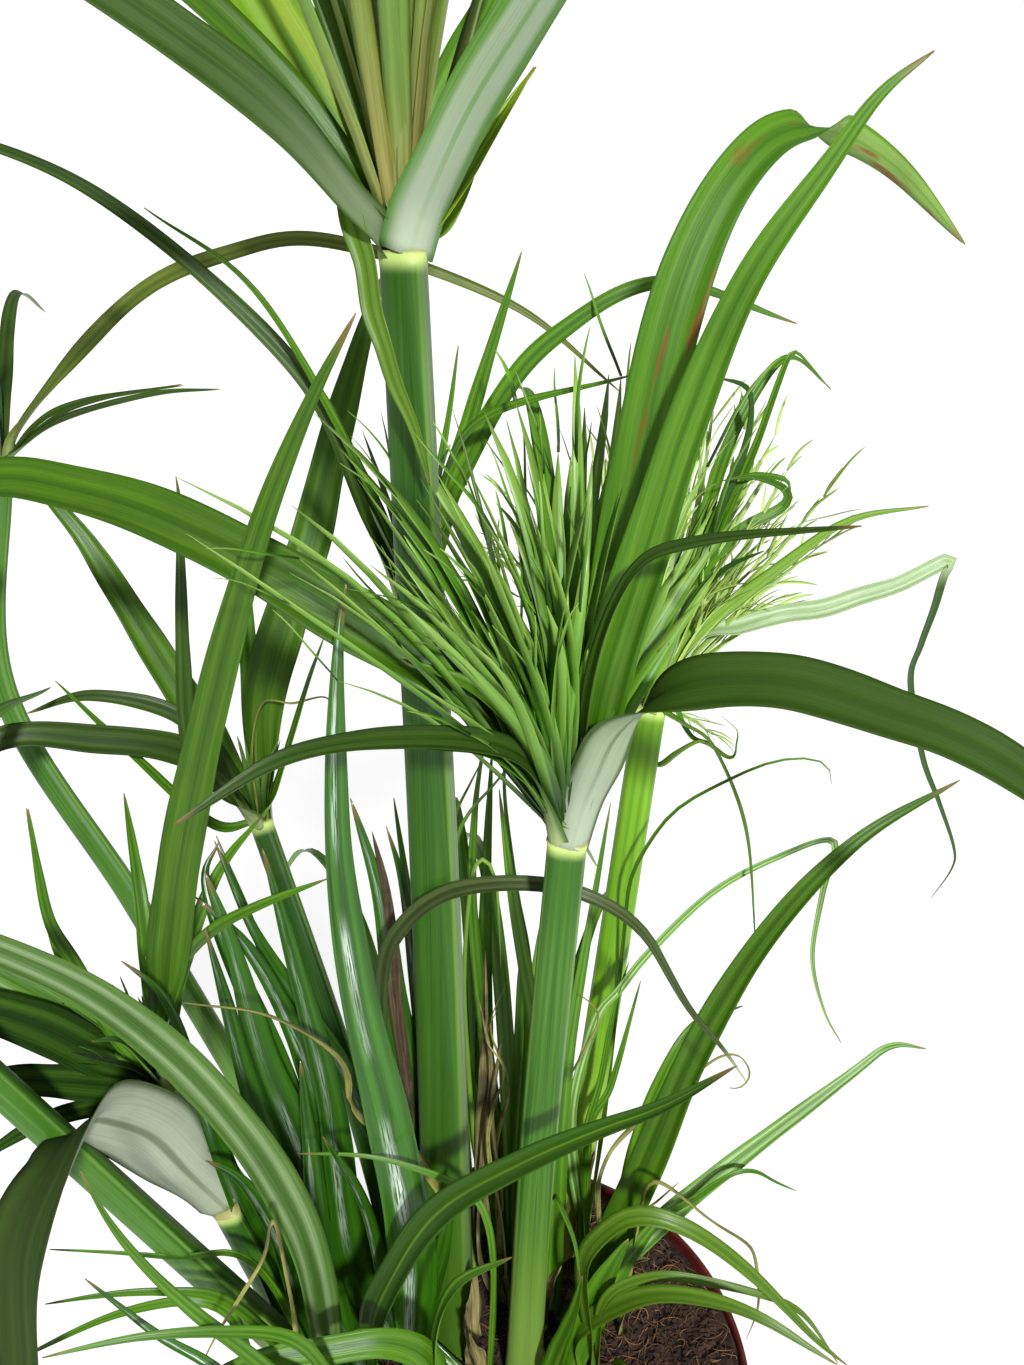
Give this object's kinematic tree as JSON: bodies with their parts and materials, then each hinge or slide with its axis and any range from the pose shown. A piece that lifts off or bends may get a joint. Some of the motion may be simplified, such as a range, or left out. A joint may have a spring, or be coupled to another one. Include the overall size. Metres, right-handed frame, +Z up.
{
  "type": "potted papyrus plant",
  "caption": "Potted papyrus: upright three-cornered stems topped by whorls of long arching bracts and fine rays, with low basal leaves, rooted in soil in a round dark red nursery pot.",
  "frame": {"origin": "middle of the underside of the pot's floor", "axes": "+Z up along the pot's axis, the plant is seen from -Y as in the picture, +X to the right"},
  "size_m": [0.3495, 0.2748, 0.5406],
  "materials": {
    "pot": "dark red thin moulded nursery pot",
    "soil": "dark brown peat with tan fibres",
    "stem": "smooth satin green, finely striated",
    "leaf": "glossy green blade with parallel veins, paler underneath",
    "ray": "yellow-green thread-like rays"
  },
  "bodies": {
    "root": {"pot": "pot", "soil": "soil", "stem_tall": "stem", "stem_front": "stem", "stem_right": "stem", "stem_back_left": "stem", "stem_far_left": "stem", "stem_low_left": "stem", "stem_young_left": "stem", "stem_hidden": "stem", "stem_dark_left": "stem", "umbel_tall": "ray", "umbel_front": "ray", "umbel_right": "ray", "umbel_back_left": "ray", "umbel_far_left": "ray", "umbel_low_left": "ray", "umbel_hidden": "ray", "umbel_dark_left": "ray", "tall_bract_front": "leaf", "tall_bract_left": "leaf", "tall_bract_back": "leaf", "tall_bract_right": "leaf", "tall_bract_bent": "leaf", "front_bract_right": "leaf", "front_bract_left": "leaf", "front_bract_small": "leaf", "front_bract_folded": "leaf", "front_bract_pointed": "leaf", "front_bract_narrow": "leaf", "right_bract_folded": "leaf", "right_bract_upright": "leaf", "right_bract_slender": "leaf", "back_left_bract_shiny": "leaf", "back_left_bract_upright": "leaf", "back_left_bract_brown": "leaf", "back_left_bract_level": "leaf", "back_left_bract_tall": "leaf", "far_left_bract_arched": "leaf", "hidden_bract_left": "leaf", "hidden_bract_spear": "leaf", "hidden_bract_arched": "leaf", "dark_left_bract_tall": "leaf", "dark_left_bract_wide": "leaf", "dark_left_bract_low": "leaf", "young_left_bract": "leaf", "leaf_striped": "leaf", "leaf_glossy": "leaf", "leaf_glossy_short": "leaf", "leaf_forward": "leaf", "leaf_long": "leaf", "leaf_pale": "leaf", "leaf_dark_arch": "leaf", "leaf_kinked": "leaf", "leaf_narrow": "leaf", "tuft_left": "leaf", "tuft_front_left": "leaf", "tuft_front": "leaf", "tuft_right": "leaf", "tuft_back": "leaf"}
  },
  "joints": []
}
